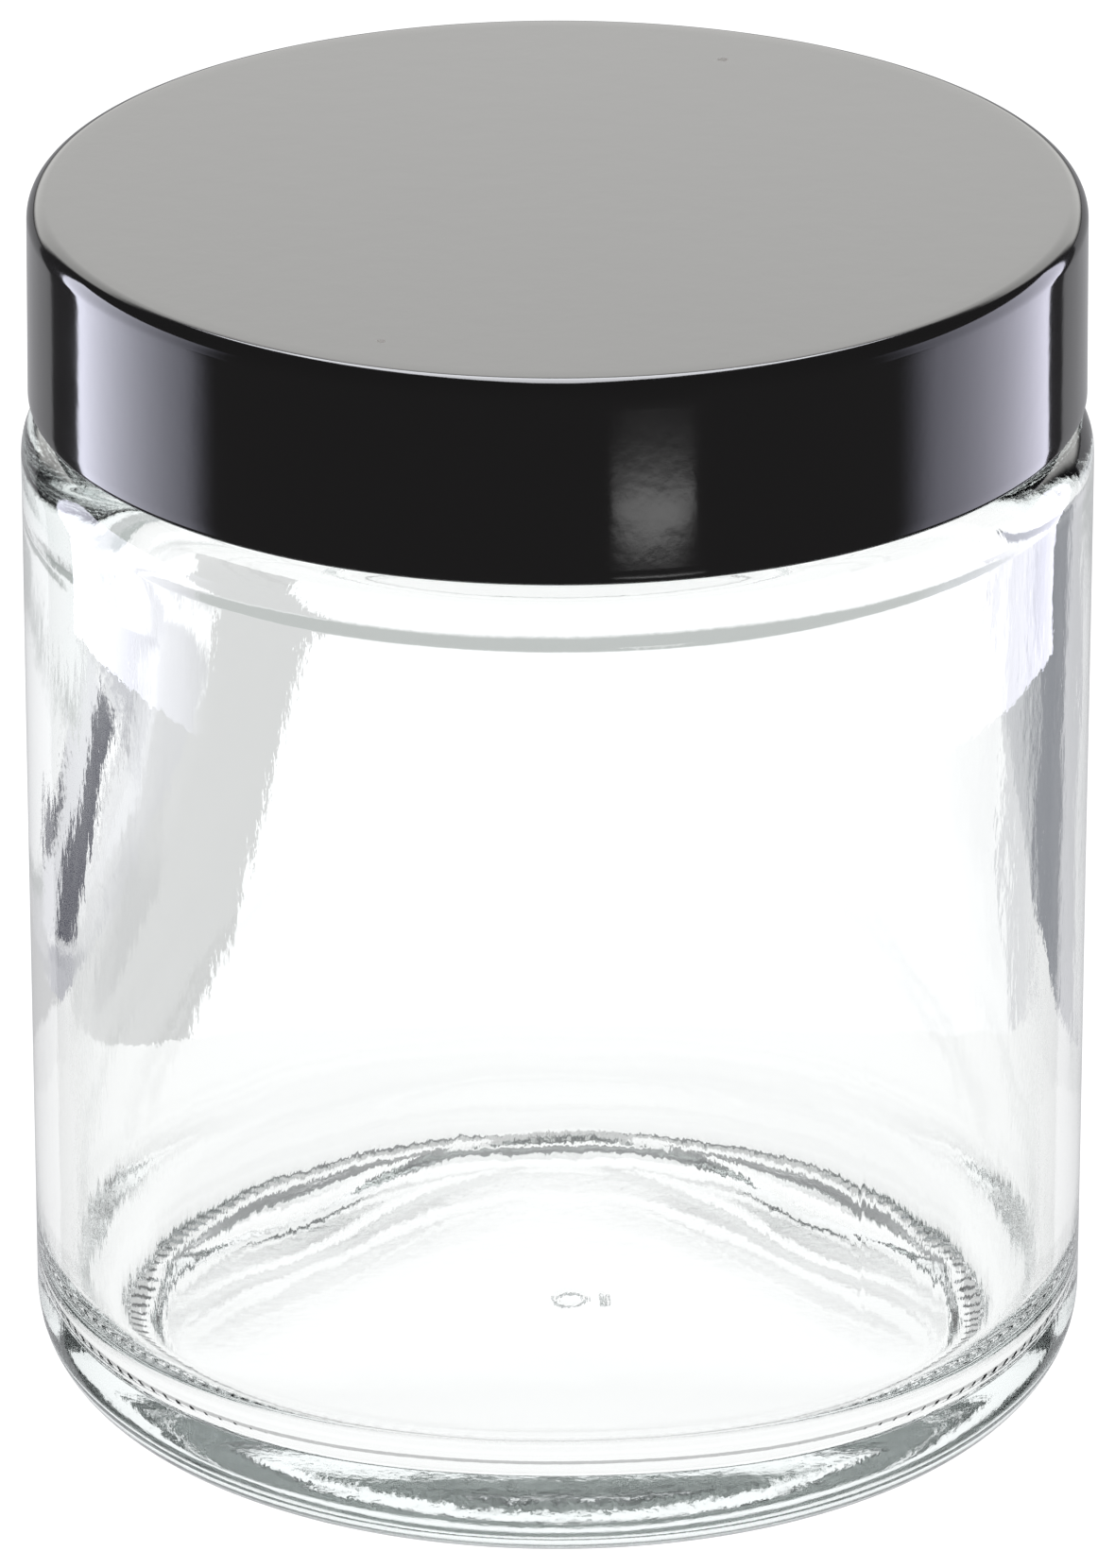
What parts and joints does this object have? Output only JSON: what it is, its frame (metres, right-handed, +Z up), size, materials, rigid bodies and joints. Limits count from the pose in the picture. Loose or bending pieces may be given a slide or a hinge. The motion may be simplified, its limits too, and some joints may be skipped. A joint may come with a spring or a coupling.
{
  "type": "specimen jar",
  "caption": "Straight-sided clear glass specimen jar with a smooth black screw cap and a faced foam liner, for storing and showing small specimens.",
  "frame": {"origin": "centre of the flat bearing ring that the jar stands on", "axes": "+Z up along the jar's axis, through the middle of the cap"},
  "size_m": [0.0612, 0.0612, 0.0719],
  "materials": {
    "clear_glass": "clear flint glass, fire-polished, faint green edge",
    "black_phenolic": "glossy moulded black phenolic",
    "liner_foam": "white foamed polyethylene, skived",
    "liner_film": "thin white fluoropolymer film, satin"
  },
  "bodies": {
    "jar": {"glass_jar": "clear_glass"},
    "liner": {"liner_backing": "liner_foam", "liner_facing": "liner_film"},
    "cap": {"cap_shell": "black_phenolic"}
  },
  "joints": [
    {"name": "cap_lift", "type": "slide", "parent": "jar", "child": "liner", "axis": [0, 0, 1], "range_m": [0, 0.01525]},
    {"name": "cap_turn", "type": "hinge", "parent": "liner", "child": "cap", "pos_m": [0, 0, 0.065], "axis": [0, 0, 1], "range_deg": [0, 1080]}
  ],
  "couplings": [
    {"joint": "cap_lift", "follows": "cap_turn", "m_per_rad": 0.00080851}
  ]
}
